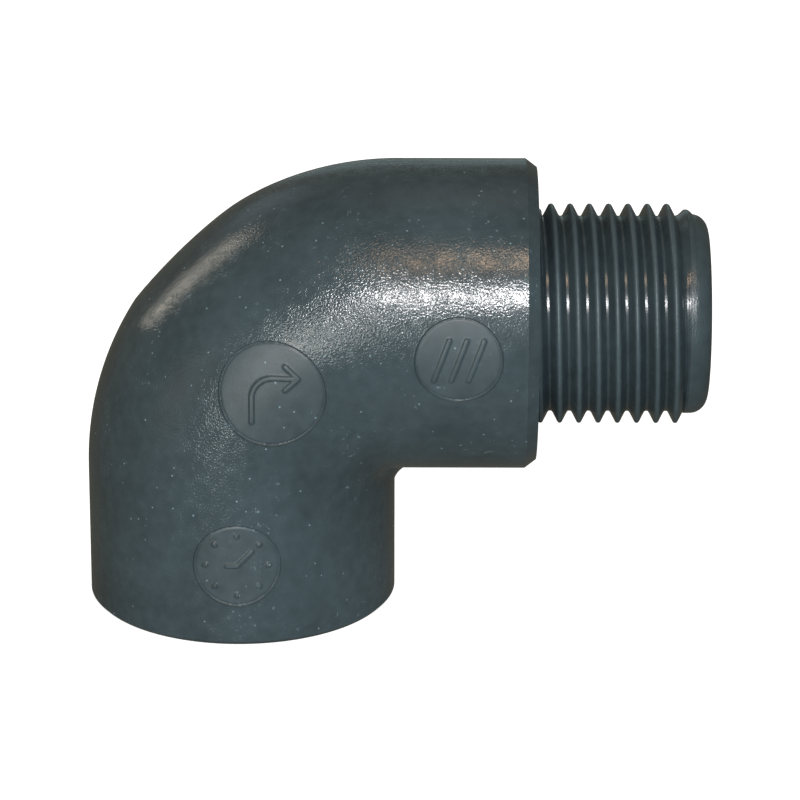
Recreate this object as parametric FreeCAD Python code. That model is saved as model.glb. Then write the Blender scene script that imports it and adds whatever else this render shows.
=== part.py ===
import FreeCAD, Part
import math
import os

# Threaded street elbow of moulded polypropylene for half-inch pipe thread (G 1/2).
# A socket with an inside thread looks down, and the body turns through 90 degrees into a
# spigot with an outside thread along +X. It is one moulding. Sizes are in millimetres.
# The origin is the middle of the socket's rim, and +Z runs up the socket's axis.
# The fine turns of the two threads are not cut here: the spigot has the diameter of its
# crests and the socket the diameter of its thread's bore, as a drawing shows them.

# Body
arm_d = 29.2             # outside diameter of both arms and of the bend that joins them
outlet_h = 27.9          # height of the spigot's axis above the socket's rim
shoulder_x = 27.9        # distance of the shoulder behind the spigot from the socket's axis
throat_r = 0.3           # inside radius of the bend's own sweep, between the arms
web_r = 2.6              # radius of the small web that fills the corner between the arms
web_round = 8.0          # radius of the web's section, which lets it die into the bend
web_sink = 0.05          # how far the web's two ends lie inside the arms
web_spread = 25.0        # half the angle of the inner length of the bend's section, degrees
rim_bevel = 0.4          # bevel of the rim's outer edge
shoulder_bevel_x = 1.05  # length of the shoulder's bevel along the arm
shoulder_bevel_r = 0.8   # depth of the shoulder's bevel across the arm

# Flattened back of the bend
back_flat = 0.4          # how much is taken off the middle of the bend's back
back_across_r = 15.5     # radius of the flattened back, across the bend
back_along_r = 60.0      # radius of the flattened back, along the bend
back_spread = 56.0       # half the angle of the outer length of the bend's section, degrees

# Spigot with the outside thread
spigot_l = 16.1          # length of the spigot from the shoulder to its end
male_d = 20.7            # diameter over the crests, inside the standard's 20.671 to 20.955
nose_d = 18.78           # diameter of the plain nose in front of the thread
nose_l = 0.5             # length of the plain nose before its edge rounds off
nose_lead = 0.3          # length of the cone between the thread and the nose
nose_round = 1.6         # rounding of the nose's outer edge

# Socket with the inside thread
female_d = 18.9          # bore of the inside thread, inside the standard's 18.631 to 19.172
socket_l = 15.5          # depth of the socket from the rim to its stop
mouth_d = 21.5           # diameter of the countersunk mouth at the rim
mouth_angle = 120.0      # full angle of the countersunk mouth

# Waterway
waterway_d = 13.6        # diameter of the waterway from the socket's stop to the spigot's end
waterway_bend_r = 9.0    # radius of the waterway's centre line in the bend
waterway_bevel = 0.4     # bevel at the waterway's mouth in the spigot's end

arm_r = arm_d / 2
bend_r = arm_r + throat_r       # radius of the bend's centre line
bend_z = outlet_h - bend_r      # height at which the bend starts
end_x = shoulder_x + spigot_l
over = 5.0                      # how far a cutting shape runs past what it cuts
back_turn = 60.0                # angle through which the flattening tool turns, in degrees

X = FreeCAD.Vector(1, 0, 0)
Y = FreeCAD.Vector(0, 1, 0)
Z = FreeCAD.Vector(0, 0, 1)


def at(x, y, z):
    return FreeCAD.Vector(x, y, z)


def solid_of_turning(edges, centre, axis):
    """The solid that a closed outline makes when it turns once round an axis."""
    return Part.Face(Part.Wire(edges)).revolve(centre, axis, 360)


def lines(points):
    """Straight edges through a row of points."""
    return [Part.LineSegment(a, b).toShape() for a, b in zip(points, points[1:])]


def back_limit():
    """What is left off the bend's back: everything outside a shallow barrel-shaped trough.

    Across the bend the trough's floor is an arc of back_across_r, and along the bend it
    turns about a far line at back_along_r. Its sides stand clear of the body.
    """
    diagonal = at(-1, 0, 1).normalize()
    floor = bend_r + arm_r - back_flat
    middle = at(bend_r, 0, bend_z)
    far = middle + diagonal * (floor - back_along_r)

    def spot(out, side):
        return middle + diagonal * out + Y * side

    r = back_across_r
    low = floor - r
    arc = Part.Arc(spot(low, -r), spot(floor, 0), spot(low, r))
    wall = lines([spot(low, r), spot(floor + over, r), spot(floor + over, -r), spot(low, -r)])
    face = Part.Face(Part.Wire([arc.toShape()] + wall))
    face.rotate(far, Y, -back_turn / 2)
    return face.revolve(far, Y, back_turn)


def throat_web():
    """The small rounded web in the corner between the arms: a quarter of a ring."""
    reach = arm_r + web_r - web_sink
    centre = at(reach, 0, outlet_h - reach)
    section = Part.makeCircle(web_round, centre - X * (web_r + web_round), Z)
    return Part.Face(Part.Wire(section)).revolve(centre, Y, 90)


def bend():
    """The quarter bend, flattened at its back.

    Its round section is drawn as four arcs, so that the flattened back meets only the
    outer one and the web only the inner one.
    """
    corners = [
        180 - back_spread,
        180 + back_spread,
        360 - web_spread,
        360 + web_spread,
        540 - back_spread,
    ]
    start = at(0, 0, bend_z)
    arcs = [Part.makeCircle(arm_r, start, Z, a, b) for a, b in zip(corners, corners[1:])]
    section = Part.Face(Part.Wire(arcs))
    return section.revolve(at(bend_r, 0, bend_z), Y, 90).cut(back_limit())


def body_form():
    """The outside of the two arms, the bend and the web between them."""
    socket_arm = Part.makeCylinder(arm_r, bend_z, at(0, 0, 0), Z)
    spigot_arm = Part.makeCylinder(arm_r, shoulder_x - bend_r, at(bend_r, 0, outlet_h), X)
    return socket_arm.fuse([bend(), spigot_arm, throat_web()])


def rim_waste():
    """The ring that the bevel takes off the rim's outer edge."""
    corner = [
        at(arm_r - rim_bevel, 0, 0),
        at(arm_r, 0, rim_bevel),
        at(arm_r + over, 0, rim_bevel),
        at(arm_r + over, 0, 0),
    ]
    return solid_of_turning(lines(corner + corner[:1]), at(0, 0, 0), Z)


def shoulder_waste():
    """The ring that the bevel takes off the shoulder's edge."""
    inner = arm_r - shoulder_bevel_r
    corner = [
        at(shoulder_x - shoulder_bevel_x, 0, outlet_h + arm_r),
        at(shoulder_x, 0, outlet_h + inner),
        at(shoulder_x + over, 0, outlet_h + inner),
        at(shoulder_x + over, 0, outlet_h + arm_r + over),
        at(shoulder_x - shoulder_bevel_x, 0, outlet_h + arm_r + over),
    ]
    return solid_of_turning(lines(corner + corner[:1]), at(0, 0, outlet_h), X)


def spigot():
    """The threaded end: crest cylinder, lead cone, plain nose and its rounded edge."""
    thread_end = end_x - nose_round - nose_l - nose_lead
    start = bend_r
    nose_r = nose_d / 2

    def spot(x, r):
        return at(x, 0, outlet_h + r)

    side = lines([
        spot(start, 0),
        spot(start, male_d / 2),
        spot(thread_end, male_d / 2),
        spot(thread_end + nose_lead, nose_r),
        spot(end_x - nose_round, nose_r),
    ])
    turn = math.sqrt(0.5) * nose_round
    edge = Part.Arc(
        spot(end_x - nose_round, nose_r),
        spot(end_x - nose_round + turn, nose_r - nose_round + turn),
        spot(end_x, nose_r - nose_round),
    )
    face = lines([spot(end_x, nose_r - nose_round), spot(end_x, 0), spot(start, 0)])
    return solid_of_turning(side + [edge.toShape()] + face, at(0, 0, outlet_h), X)


def socket_space():
    """The socket's countersunk mouth, its thread bore and the stop that ends it."""
    mouth_r = mouth_d / 2
    bore_r = female_d / 2
    mouth_l = (mouth_r - bore_r) / math.tan(math.radians(mouth_angle / 2))
    outline = [
        at(0, 0, -over),
        at(mouth_r, 0, -over),
        at(mouth_r, 0, 0),
        at(bore_r, 0, mouth_l),
        at(bore_r, 0, socket_l),
        at(0, 0, socket_l),
    ]
    return solid_of_turning(lines(outline + outline[:1]), at(0, 0, 0), Z)


def waterway():
    """The waterway: up from the socket's stop, round the bend and out through the spigot."""
    r = waterway_d / 2
    turn_z = outlet_h - waterway_bend_r
    rise = Part.makeCylinder(r, turn_z, at(0, 0, 0), Z)
    start = Part.Face(Part.Wire(Part.makeCircle(r, at(0, 0, turn_z), Z)))
    turn = start.revolve(at(waterway_bend_r, 0, turn_z), Y, 90)
    run = Part.makeCylinder(r, end_x + over, at(waterway_bend_r, 0, outlet_h), X)
    mouth = Part.makeCone(
        r, r + waterway_bevel, waterway_bevel, at(end_x - waterway_bevel, 0, outlet_h), X
    )
    return rise.fuse([turn, run, mouth])


def elbow():
    body = body_form().cut([rim_waste(), shoulder_waste()])
    body = body.fuse(spigot())
    return body.cut([socket_space(), waterway()])


os.makedirs("parts", exist_ok=True)
part = elbow()
solids = part.Solids
print("solids", len(solids), "volume", round(part.Volume, 1), "valid", part.isValid())
print("box", part.BoundBox)
solids[0].exportStep("parts/elbow_body.step")
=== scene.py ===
import bmesh
import bpy
import math
from mathutils import Matrix, Vector


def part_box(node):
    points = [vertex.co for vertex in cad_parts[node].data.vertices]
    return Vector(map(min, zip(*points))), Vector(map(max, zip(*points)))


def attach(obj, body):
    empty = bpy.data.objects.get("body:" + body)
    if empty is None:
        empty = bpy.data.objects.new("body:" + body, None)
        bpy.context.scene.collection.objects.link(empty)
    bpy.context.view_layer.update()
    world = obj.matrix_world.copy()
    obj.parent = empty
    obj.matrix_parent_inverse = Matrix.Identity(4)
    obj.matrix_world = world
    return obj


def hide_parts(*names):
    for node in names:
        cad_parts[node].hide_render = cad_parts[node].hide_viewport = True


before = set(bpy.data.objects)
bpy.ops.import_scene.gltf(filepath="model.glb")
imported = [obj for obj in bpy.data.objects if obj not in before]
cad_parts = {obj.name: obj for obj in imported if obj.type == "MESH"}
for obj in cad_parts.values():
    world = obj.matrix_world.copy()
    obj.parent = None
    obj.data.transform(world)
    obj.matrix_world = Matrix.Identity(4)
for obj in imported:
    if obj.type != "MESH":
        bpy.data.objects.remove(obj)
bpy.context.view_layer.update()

# Arms and bend: one moulding in dark blue-grey polypropylene, which takes the place of the
# packed elbow. It is drawn in millimetres in the frame's axes, with the socket looking down
# and the spigot along +X. The bend's back is brought in to a shallow barrel.
mm = 0.001
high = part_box("elbow_body")[1] / mm
arm_r = 14.6
end_x = high.x
outlet_h = high.z - arm_r
bend_r = arm_r + 0.3
bend_z = outlet_h - bend_r
bend_steps = 96
around = 240
rim_bevel = 0.4
shoulder_x = 27.9
shoulder_bevel_x = 1.05
shoulder_bevel_r = 0.8
back_flat = 0.4
back_across_r = 15.5
back_along_r = 60.0
back_soft = 0.25
back_sharp = 0.02
back_soft_from = 0.7
back_soft_over = 0.1


def finished(bm, name):
    """A closed mesh object out of bm, with its open ends filled and its faces turned out."""
    bmesh.ops.holes_fill(bm, edges=[e for e in bm.edges if e.is_boundary], sides=0)
    bmesh.ops.recalc_face_normals(bm, faces=bm.faces)
    mesh = bpy.data.meshes.new(name)
    bm.to_mesh(mesh)
    bm.free()
    solid = bpy.data.objects.new(name, mesh)
    bpy.context.scene.collection.objects.link(solid)
    return solid


def grown(bm, edges, shift, scale=1.0, about=(0, 0, 0)):
    """Extrudes a ring of edges, moves the new ring, scales it about a point, and returns it."""
    new = bmesh.ops.extrude_edge_only(bm, edges=edges)["geom"]
    verts = [g for g in new if isinstance(g, bmesh.types.BMVert)]
    bmesh.ops.translate(bm, verts=verts, vec=shift)
    away = Matrix.Translation(-Vector(about))
    bmesh.ops.scale(bm, verts=verts, vec=(scale, scale, scale), space=away)
    return [g for g in new if isinstance(g, bmesh.types.BMEdge) and g.is_boundary]


def bent(bm, ring, r, steps):
    """Sweeps a ring from the socket's axis to the spigot's, round a bend of radius r."""
    swept = bmesh.ops.spin(
        bm,
        geom=ring + list(dict.fromkeys(v for e in ring for v in e.verts)),
        cent=(r, 0, outlet_h - r),
        axis=(0, 1, 0),
        angle=math.radians(90),
        steps=steps,
    )["geom_last"]
    return [g for g in swept if isinstance(g, bmesh.types.BMEdge)]


bm = bmesh.new()
bmesh.ops.create_circle(bm, segments=around, radius=arm_r - rim_bevel)
rim_top = (0, 0, rim_bevel)
ring = grown(bm, bm.edges[:], rim_top, arm_r / (arm_r - rim_bevel), rim_top)
ring = grown(bm, ring, (0, 0, bend_z - rim_bevel))
ring = bent(bm, ring, bend_r, bend_steps)
ring = grown(bm, ring, (shoulder_x - shoulder_bevel_x - bend_r, 0, 0))
shoulder_middle = (shoulder_x, 0, outlet_h)
grown(bm, ring, (shoulder_bevel_x, 0, 0), 1 - shoulder_bevel_r / arm_r, shoulder_middle)

# The flat on the back ends sharply at its lower edge and softly at its upper one.
out = Vector((-1, 0, 1)).normalized()
bend_middle = Vector((bend_r, 0, bend_z))
far = bend_middle + out * (bend_r + arm_r - back_flat - back_along_r)
for v in bm.verts:
    across = v.co.y
    if (v.co - bend_middle).dot(out) < 0 or abs(across) > back_across_r - 1:
        continue
    limit = back_along_r - back_across_r + math.sqrt(back_across_r**2 - across**2)
    reach = Vector((v.co.x - far.x, 0, v.co.z - far.z))
    over = reach.length - limit
    soft = back_soft * max(0.0, reach.normalized().z - back_soft_from) / back_soft_over
    soft = min(back_soft, max(back_sharp, soft))
    over = (over + math.sqrt(over**2 + soft**2)) / 2
    v.co -= reach.normalized() * over
body = finished(bm, "elbow")

# Web in the throat: a quarter of a ring, moulded on to fill the corner between the arms. Its
# section is a large circle, so it dies into the arms with a crease on each side.
web_r = 2.6
web_round = 8.0
web_steps = 32
web_sunk = 0.05


def boolean(operation, tools):
    """Joins tools to the body or cuts them out of it, one after another, and removes them."""
    for tool in tools:
        step = body.modifiers.new(tool.name, "BOOLEAN")
        step.operation = operation
        step.solver = "EXACT"
        step.object = tool
        graph = bpy.context.evaluated_depsgraph_get()
        mesh = bpy.data.meshes.new_from_object(body.evaluated_get(graph))
        body.modifiers.clear()
        body.data = mesh
        bpy.data.objects.remove(tool)


web_reach = arm_r + web_r - web_sunk
bm = bmesh.new()
section = Matrix.Translation((web_reach - web_r - web_round, 0, outlet_h - web_reach))
bmesh.ops.create_circle(bm, segments=around, radius=web_round, matrix=section)
bent(bm, bm.edges[:], web_reach, web_steps)
boolean("UNION", [finished(bm, "web")])

# Spigot: a low collar against the shoulder, the outside thread, and the plain nose with its
# rounded edge, moulded with the body. It is a half-inch pipe thread, with rounded ridges of
# 55 degrees, whose last turns sink into the nose.
pitch = 1.814
ridge_r = 0.137 * pitch
flank = math.radians(90 - 55 / 2)
crest_points = (-1, -0.6, -0.2, 0.2, 0.6, 1)
root_points = (-1, -0.4, 0.4, 1)
thread_steps = 144
same_spot = 0.001
male_crest_r = 10.35
male_root_r = 9.18
male_first = 28.9 - 3 * pitch
male_turns = 12
male_fade = (41.5, 42.35)
male_sunk = 0.04
collar_r = 9.86
collar_end = 28.35
collar_bevel = 0.15
nose_start = 41.7
nose_overlap = 0.8
nose_r = 9.39
nose_round = 1.6
nose_bevel = 0.1
past = 3.0


def chain(bm, points):
    """Draws an outline of (radius, height) points, joined in a row by edges."""
    row = [bm.verts.new((r, 0, z)) for r, z in points]
    for a, b in zip(row, row[1:]):
        bm.edges.new((a, b))


def turned(points, name):
    """A closed solid turned round Z from an outline of (radius, height) points."""
    bm = bmesh.new()
    chain(bm, points)
    bmesh.ops.spin(
        bm,
        geom=bm.verts[:] + bm.edges[:],
        cent=(0, 0, 0),
        axis=(0, 0, 1),
        angle=math.radians(360),
        steps=around,
        use_merge=True,
    )
    bmesh.ops.remove_doubles(bm, verts=bm.verts, dist=same_spot)
    return finished(bm, name)


def thread_core(root_r, crest_r, first, turns, low_end, high_end, core_r, fade):
    """A closed core with helical ridges along Z, cut off square at low_end and high_end.

    One profile of ridges is turned once round the axis while it moves on by one pitch. first
    is the height of a crest in the +X direction. Between the two heights in fade the ridges
    sink from their full form to core_r, as the last turn of a moulded thread does.
    """
    points = []
    for middle in (first + turn * pitch for turn in range(turns)):
        for a in crest_points:
            r = crest_r - ridge_r * (1 - math.cos(a * flank))
            points.append((r, middle + ridge_r * math.sin(a * flank)))
        for a in root_points:
            r = root_r + ridge_r * (1 - math.cos(a * flank))
            points.append((r, middle + pitch / 2 + ridge_r * math.sin(a * flank)))
    bm = bmesh.new()
    chain(bm, points)
    bmesh.ops.spin(
        bm,
        geom=bm.verts[:] + bm.edges[:],
        cent=(0, 0, 0),
        axis=(0, 0, 1),
        dvec=(0, 0, pitch / thread_steps),
        angle=math.radians(360),
        steps=thread_steps,
    )
    bmesh.ops.remove_doubles(bm, verts=bm.verts, dist=same_spot)
    for v in bm.verts:
        angle = math.atan2(v.co.y, v.co.x) % math.radians(360)
        place = (v.co.z - first) / pitch - angle / math.radians(360)
        ridge_z = v.co.z - (place - round(place)) * pitch
        kept = min(1.0, max(0.0, (fade[1] - ridge_z) / (fade[1] - fade[0])))
        r = math.hypot(v.co.x, v.co.y)
        share = (core_r + (r - core_r) * kept) / r
        v.co.x *= share
        v.co.y *= share
    for height in (low_end, high_end):
        bmesh.ops.bisect_plane(
            bm,
            geom=bm.verts[:] + bm.edges[:] + bm.faces[:],
            plane_co=(0, 0, height),
            plane_no=(0, 0, 1),
            clear_inner=height == low_end,
            clear_outer=height == high_end,
        )
    return finished(bm, "thread_core")


male = thread_core(
    male_root_r,
    male_crest_r,
    first=male_first,
    turns=male_turns,
    low_end=shoulder_x - past,
    high_end=nose_start + nose_overlap,
    core_r=nose_r - male_sunk,
    fade=male_fade,
)
collar_points = [
    (0, shoulder_x - past),
    (collar_r, shoulder_x - past),
    (collar_r, collar_end - collar_bevel),
    (collar_r - collar_bevel, collar_end),
    (0, collar_end),
]
nose_points = [(0, nose_start), (nose_r - nose_bevel, nose_start), (nose_r, nose_start + nose_bevel)]
for turn in (math.radians(a) for a in range(0, 91, 9)):
    r = nose_r - nose_round * (1 - math.cos(turn))
    nose_points.append((r, end_x - nose_round * (1 - math.sin(turn))))
nose_points.append((0, end_x))
spigot = [male, turned(collar_points, "collar"), turned(nose_points, "nose")]
spigot_axis = Matrix(((0, 0, 1, 0), (1, 0, 0, 0), (0, 1, 0, outlet_h), (0, 0, 0, 1)))
for part in spigot:
    part.data.transform(spigot_axis)
boolean("UNION", spigot)

# Socket: the inside thread in the lower arm, with a countersunk mouth and a square stop. The
# mould's threaded core leaves it. It takes the same half-inch pipe thread, whose last turn
# sinks into the bore below the stop.
female_crest_r = 9.45
female_root_r = 10.48
female_first = -4 * pitch
female_turns = 14
female_sunk = 0.13
socket_l = 15.5
female_end = socket_l - 1.0
female_fade = (socket_l - 3.0, socket_l - 1.6)
mouth_r = 10.75
mouth_spread = math.tan(math.radians(60))
mouth_l = (mouth_r - female_crest_r) / mouth_spread
socket_points = [
    (0, -past),
    (mouth_r + past * mouth_spread, -past),
    (female_crest_r, mouth_l),
    (female_crest_r, socket_l),
    (0, socket_l),
]
female = thread_core(
    female_crest_r - female_sunk,
    female_root_r,
    first=female_first,
    turns=female_turns,
    low_end=-past,
    high_end=female_end,
    core_r=female_crest_r - female_sunk,
    fade=female_fade,
)
boolean("DIFFERENCE", [turned(socket_points, "socket"), female])

# Waterway: the smooth bore that goes up from the socket's stop, round the bend and out
# through the nose, where its mouth is bevelled. Sliding cores in the mould leave it.
waterway_r = 6.8
waterway_bend_r = 9.0
waterway_bend_steps = 48
waterway_bevel = 0.4
bm = bmesh.new()
foot = Matrix.Translation((0, 0, socket_l - past))
bmesh.ops.create_circle(bm, segments=around, radius=waterway_r, matrix=foot)
ring = grown(bm, bm.edges[:], (0, 0, outlet_h - waterway_bend_r - socket_l + past))
ring = bent(bm, ring, waterway_bend_r, waterway_bend_steps)
ring = grown(bm, ring, (end_x - waterway_bevel - waterway_bend_r, 0, 0))
beyond = waterway_bevel + past
grown(bm, ring, (beyond, 0, 0), 1 + beyond / waterway_r, (end_x + past, 0, outlet_h))
boolean("DIFFERENCE", [finished(bm, "waterway")])

# Marks: three discs that inserts in the mould leave a little below the surface, on the side
# that looks along -Y. Each holds a plain raised symbol: slanted bars, a bent arrow, and a
# ring of dots with a hand. A fine grid follows the surface, and its sloping steps are cut in.
spigot_mark = (20.5, 28.3, 8.2)
bend_mark = (3.4, 24.9, 10.0)
socket_mark = (0.0, 8.0, 8.2)
mark_depth = 0.20
mark_grid = 0.09
mark_step = 0.18
mark_clear = 0.1
mark_wall = 2.0
groove_depth = 0.08
groove_inset = 0.2
groove_half = 0.15
stroke_r = 0.22
stroke_rise = 0.85
arc_steps = 12
dial_dots = 8
dial_r = 2.9
dot_l = 0.1


def surface_y(x, z):
    """The Y of the body's near side over a spot in the plane of the two axes."""
    if z <= bend_z:
        aside = x
    elif x >= bend_r:
        aside = z - outlet_h
    else:
        aside = math.hypot(x - bend_r, z - bend_z) - bend_r
    return -math.sqrt(arm_r**2 - aside**2)


def line(ax, az, bx, bz):
    """A function for the distance of a spot from a straight stroke between two spots."""
    a, b = Vector((ax, az)), Vector((bx, bz))

    def away(p):
        share = min(1.0, max(0.0, (p - a).dot(b - a) / (b - a).length_squared))
        return (p - a - (b - a) * share).length

    return away


def arc(cx, cz, r, start, end):
    """A function for the distance of a spot from part of a circle, with angles in degrees."""
    turns = [math.radians(start + (end - start) * k / arc_steps) for k in range(arc_steps + 1)]
    spots = [(cx + r * math.cos(t), cz + r * math.sin(t)) for t in turns]
    parts = [line(*p, *q) for p, q in zip(spots, spots[1:])]
    return lambda p: min(away(p) for away in parts)


def step_up(x):
    """A smooth step from 0 to 1."""
    x = min(1.0, max(0.0, x))
    return x * x * (3 - 2 * x)


def mark_cutter(x, z, d, strokes):
    """A closed cutter for a disc of diameter d at x and z, whose floor carries the strokes."""
    reach = d / 2 + 3 * mark_grid
    bm = bmesh.new()
    count = round(2 * reach / mark_grid)
    bmesh.ops.create_grid(bm, x_segments=count, y_segments=count, size=reach)
    for v in bm.verts:
        p = Vector((v.co.x, v.co.y))
        edge = d / 2 - p.length
        raised = max([step_up((stroke_r + mark_step / 2 - s(p)) / mark_step) for s in strokes])
        groove = step_up(1 - abs(edge - groove_inset) / groove_half)
        depth = mark_depth * (1 - stroke_rise * raised) + groove_depth * groove
        inside = step_up(edge / mark_step + 0.5)
        floor_y = surface_y(x + p.x, z + p.y) + depth * inside - mark_clear * (1 - inside)
        v.co = Vector((x + p.x, floor_y, z + p.y))
    grown(bm, [e for e in bm.edges if e.is_boundary], (0, -mark_wall, 0))
    return finished(bm, "mark")


bars = [line(x - 0.7, -1.9, x + 0.7, 1.9) for x in (-1.6, 0, 1.6)]
arrow = [
    line(-1.9, -2.6, -1.9, -0.4),
    arc(0.1, -0.4, 2.0, 180, 90),
    line(0.1, 1.6, 2.4, 1.6),
    line(1.2, 2.7, 2.4, 1.6),
    line(1.2, 0.5, 2.4, 1.6),
]
dial = [line(0, 0, 1.4, 1.4), line(0, 0, -0.9, 0)]
for k in range(dial_dots):
    t = math.radians(k * 360 / dial_dots)
    near, tip = ((r * math.cos(t), r * math.sin(t)) for r in (dial_r, dial_r + dot_l))
    dial.append(line(*near, *tip))
for mark, strokes in ((spigot_mark, bars), (bend_mark, arrow), (socket_mark, dial)):
    boolean("DIFFERENCE", [mark_cutter(*mark, strokes)])

# Finished moulding: slivers from the cuts are merged away, and the mesh is brought to metres.
# Steps sharper than the crease angle stay crisp.
sliver = 0.0005
crease = math.radians(32)
bm = bmesh.new()
bm.from_mesh(body.data)
bmesh.ops.remove_doubles(bm, verts=bm.verts, dist=sliver)
bmesh.ops.dissolve_degenerate(bm, edges=bm.edges, dist=sliver)
bm.to_mesh(body.data)
bm.free()
body.data.transform(Matrix.Scale(mm, 4))
body.data.shade_smooth()
body.data.set_sharp_from_angle(angle=crease)
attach(body, "root")
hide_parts("elbow_body")

# Dark blue-grey polypropylene. The body has the fine grain of a spark-eroded mould, which
# sparkles under the light and is finest beside the shoulder. The marks are duller. The
# thread and the nose came off polished steel, and the thread's crests are a little rubbed.
# Painted light: the thread's colour is painted darker as shade and its crests lighter, and
# pale specks and dashes are painted on the body as sparkle.
plastic_colour = (0.037, 0.053, 0.060, 1)
seam_y = 1.3
grain_h = 0.045


class Wire:
    """A node's output, on which Python's operators add the Math nodes of a sum."""

    def __init__(self, tree, out=None):
        self.tree = tree
        self.out = out

    def node(self, kind, inputs=None, out=0, **settings):
        """Makes a node, sets or joins its inputs, and returns one of its outputs, if any."""
        made = self.tree.nodes.new(kind)
        for key, value in settings.items():
            setattr(made, key, value)
        for key, value in (inputs or {}).items():
            if isinstance(value, Wire):
                self.tree.links.new(value.out, made.inputs[key])
            else:
                made.inputs[key].default_value = value
        return Wire(self.tree, made.outputs[out] if made.outputs else None)

    def math(self, operation, *others):
        values = dict(enumerate((self,) + others))
        return self.node("ShaderNodeMath", values, operation=operation)

    def __add__(self, other):
        return self.math("ADD", other)

    def __sub__(self, other):
        return self.math("SUBTRACT", other)

    def __mul__(self, other):
        return self.math("MULTIPLY", other)

    def __rsub__(self, other):
        return self * -1 + other

    __radd__ = __add__
    __rmul__ = __mul__


def emptied(owner):
    """Empties the node tree of a material or the world, and returns a Wire to start it."""
    owner.use_nodes = True
    owner.node_tree.nodes.clear()
    return Wire(owner.node_tree)


def ramp(value, low, high, first=0.0, last=1.0):
    """Goes from first to last while value goes from low to high."""
    ends = {"Value": value, "From Min": low, "From Max": high, "To Min": first, "To Max": last}
    return value.node("ShaderNodeMapRange", ends)


def length(a, b):
    """The length of a vector from its two parts."""
    return (a.math("POWER", 2.0) + b.math("POWER", 2.0)).math("SQRT")


plastic = bpy.data.materials.new("polypropylene")
start = emptied(plastic)
coords = start.node("ShaderNodeTexCoord", out="Object")
px, py, pz = (start.node("ShaderNodeSeparateXYZ", {0: coords}, out=axis) for axis in "XYZ")


def noise(scale, detail=1.0, vector=coords):
    """A noise pattern around 0, with scale features a metre."""
    inputs = {"Vector": vector, "Scale": scale, "Detail": detail}
    return start.node("ShaderNodeTexNoise", inputs, out="Fac") - 0.5


# Where the threads and the nose, the crests and the marks are, each from 0 to 1.
thread = px.math("GREATER_THAN", shoulder_x * mm)
crest_from, crest_to = (male_crest_r - 0.4) * mm, (male_crest_r - 0.05) * mm
crest = thread * ramp(length(py, pz - outlet_h * mm), crest_from, crest_to)
nose = px.math("GREATER_THAN", (nose_start + 0.3) * mm)
near_side = py.math("LESS_THAN", 0.0)
discs = [
    ramp(length(px - x * mm, pz - z * mm), (d / 2 + 0.1) * mm, (d / 2 - 0.1) * mm) * near_side
    for x, z, d in (spigot_mark, bend_mark, socket_mark)
]
marks = discs[0].math("MAXIMUM", discs[1]).math("MAXIMUM", discs[2])

# Grain, the parting line on the back and the outside of the body, and the gloss.
patches = noise(900.0, 2.0)
streaks = noise(1100.0, 2.0, start.node("ShaderNodeMapping", {"Vector": coords, "Scale": (6.0, 1.0, 1.0)}))
depth = (1.0 - thread) * (1.0 - marks)
depth = depth * ramp(px, 12 * mm, 26 * mm, 1.0, 0.5) * ramp(pz - px, 28 * mm, 35 * mm, 1.0, 0.6)
depth = depth * (patches * 2.0 + 1.0) + marks * 0.25
grain = noise(5500.0) * (depth + thread * 0.14 + crest * 0.5 + nose * 0.2) + nose * streaks * 0.5
from_seam = (py - seam_y * mm).math("ABSOLUTE")
seam = ramp(from_seam, 0.03 * mm, 0.12 * mm, 1.0, 0.0) * (1.0 - thread)
height = {"Distance": grain_h * mm, "Height": grain + seam * 1.2}
bump = start.node("ShaderNodeBump", height, out="Normal")
roughness = 0.18 + marks * 0.24 + thread * 0.04 + crest * 0.20 + nose * 0.08

# Painted sparkle: pale specks and light dashes painted into the colour as glints on the grain, and clouds
# where the colour is a little uneven.
painted_sparkle_specks = start.node("ShaderNodeTexVoronoi", {"Vector": coords, "Scale": 700.0})
painted_sparkle_specks = ramp(painted_sparkle_specks, 0.075, 0.05) * (1.0 - thread)
painted_sparkle_dashes = ramp(noise(2200.0, 3.0), 0.13, 0.22) * ramp(noise(220.0, 2.0), 0.03, 0.15)
clouds = noise(110.0, 4.0)
# The thread's colour is painted darker, as shade in its valleys, and its crests are painted lighter again;
# the nose takes most of that painted shade back. The pale specks and dashes are painted sparkle.
tone_and_painted_light = 1.0 + clouds * 0.9 + patches * 0.5 - thread * 0.30 + crest * 0.45 + nose * 0.25
tone_and_painted_light = tone_and_painted_light + painted_sparkle_specks * 2.8 + painted_sparkle_dashes * (1.0 - thread) * 1.6
colour = start.node(
    "ShaderNodeMix",
    {0: 1.0, 6: plastic_colour, 7: tone_and_painted_light},
    out=2,
    data_type="RGBA",
    blend_type="MULTIPLY",
)
surface = start.node(
    "ShaderNodeBsdfPrincipled",
    {"Base Color": colour, "Roughness": roughness, "Normal": bump, "IOR": 1.49},
    out="BSDF",
)
start.node("ShaderNodeOutputMaterial", {"Surface": surface})
body.data.materials.clear()
body.data.materials.append(plastic)

# Floor and surroundings: white wherever the camera looks, with the elbow's soft shadow, and
# dim for the light that reaches the elbow from them. The floor is clear from below and for
# light, so that the socket can be looked into.
floor_size = 2.0
floor_z = -0.05
floor_grey = (0.5, 0.5, 0.5, 1)
floor_glow = (0.82, 0.82, 0.82, 1)
dim_light = (1.0, 0.93, 0.72, 1)
dim_strength = 0.12
bm = bmesh.new()
below = Matrix.Translation((0, 0, floor_z * mm))
bmesh.ops.create_grid(bm, x_segments=1, y_segments=1, size=floor_size, matrix=below)
mesh = bpy.data.meshes.new("floor")
bm.to_mesh(mesh)
bm.free()
floor = bpy.data.objects.new("floor", mesh)
bpy.context.scene.collection.objects.link(floor)
white = bpy.data.materials.new("white")
start = emptied(white)
seen = start.node("ShaderNodeLightPath", out="Is Camera Ray")
under = start.node("ShaderNodeNewGeometry", out="Backfacing")
clear = start.node("ShaderNodeBsdfTransparent")
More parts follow.
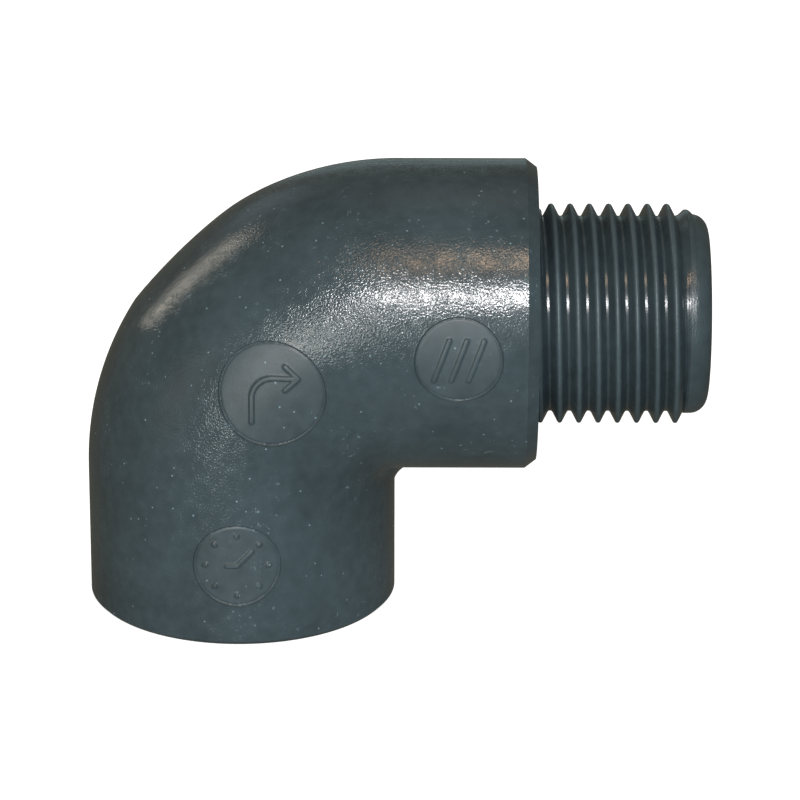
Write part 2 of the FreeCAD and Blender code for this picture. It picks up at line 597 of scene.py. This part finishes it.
plain = start.node(
    "ShaderNodeBsdfPrincipled",
    {
        "Base Color": floor_grey,
        "Roughness": 1.0,
        "Specular IOR Level": 0.0,
        "Emission Color": floor_glow,
        "Emission Strength": 1.0,
    },
)
surface = start.node("ShaderNodeMixShader", {0: seen * (1.0 - under), 1: clear, 2: plain})
start.node("ShaderNodeOutputMaterial", {"Surface": surface})
mesh.materials.append(white)

world = bpy.data.worlds.new("world")
bpy.context.scene.world = world
start = emptied(world)
seen = start.node("ShaderNodeLightPath", out="Is Camera Ray")
dim = start.node("ShaderNodeBackground", {"Color": dim_light, "Strength": dim_strength})
bright = start.node("ShaderNodeBackground", {"Color": (1, 1, 1, 1), "Strength": 1.0})
surface = start.node("ShaderNodeMixShader", {0: seen, 1: dim, 2: bright})
start.node("ShaderNodeOutputWorld", {"Surface": surface})

# Lights. The key draws the bright band on the spigot's arm, a warm one the brown band above
# it, and a tall strip behind the bend the straight streak on its flattened back. The others
# are wide and soft, and give each side its grey. Those without shine only fill the shade.
lamp_distance = 0.8
lamp_aim = Vector((15.0, 0, 22.0)) * mm
wide = (0.28, 0.28)
neutral = (1.0, 1.0, 1.0)


def facing(thing, aim, distance, azimuth, elevation, roll=0.0):
    """Puts a lamp or the camera in a direction from aim, looking at it, angles in degrees."""
    a, e = math.radians(azimuth), math.radians(elevation)
    back = Vector((math.sin(a) * math.cos(e), -math.cos(a) * math.cos(e), math.sin(e)))
    turn = Matrix.Rotation(math.radians(roll), 3, "Z").to_quaternion()
    thing.location = aim + back * distance
    thing.rotation_mode = "QUATERNION"
    thing.rotation_quaternion = back.to_track_quat("Z", "Y") @ turn
    bpy.context.scene.collection.objects.link(thing)


def area_light(name, azimuth, elevation, size, power, colour, shine=True):
    """A rectangular light of a width and a height that looks at the middle of the elbow."""
    data = bpy.data.lights.new(name, "AREA")
    data.shape = "RECTANGLE"
    data.size, data.size_y = size
    data.energy = power
    data.color = colour
    light = bpy.data.objects.new(name, data)
    light.visible_glossy = shine
    facing(light, lamp_aim, lamp_distance, azimuth, elevation)


area_light("key", 0, 31, (0.10, 0.07), 3.9, (1.0, 0.98, 0.99))
area_light("warm", 2, 58, (0.12, 0.12), 0.7, (1.0, 0.70, 0.46))
area_light("front_left", -18, 8, wide, 2.3, (1.0, 1.0, 0.95))
area_light("front_right", 14, 5, wide, 3.1, (0.68, 0.86, 1.0), shine=False)
area_light("strip", -124, 28, (0.05, 0.40), 0.6, (1.0, 0.90, 0.76))
area_light("left", -60, 8, wide, 0.15, (1.0, 0.8, 0.6))
area_light("far_left", -150, 30, wide, 0.10, (0.7, 0.85, 1.0))
area_light("behind", 180, 8, wide, 0.08, (0.6, 0.9, 1.0))
area_light("above", 180, 68, wide, 0.06, (1.0, 0.85, 0.7))
area_light("right", 110, 15, wide, 1.2, neutral, shine=False)
area_light("rear", 180, 20, wide, 4.5, neutral, shine=False)
area_light("below", -10, -50, wide, 1.6, (1.0, 0.97, 0.95), shine=False)

# Camera: a long lens, from in front and a little above. Its place was fitted to the outline
# of the photograph.
lens = 199.07
sensor = 36.0
camera_aim = Vector((15.096, 0, 19.105)) * mm
camera_distance = 420.4 * mm
camera = bpy.data.objects.new("camera", bpy.data.cameras.new("camera"))
facing(camera, camera_aim, camera_distance, azimuth=0.106, elevation=20.552, roll=0.111)
camera.data.lens = lens
camera.data.sensor_width = sensor
camera.data.clip_start, camera.data.clip_end = 0.01, 10.0
bpy.context.scene.camera = camera
bpy.context.scene.view_settings.view_transform = "Standard"
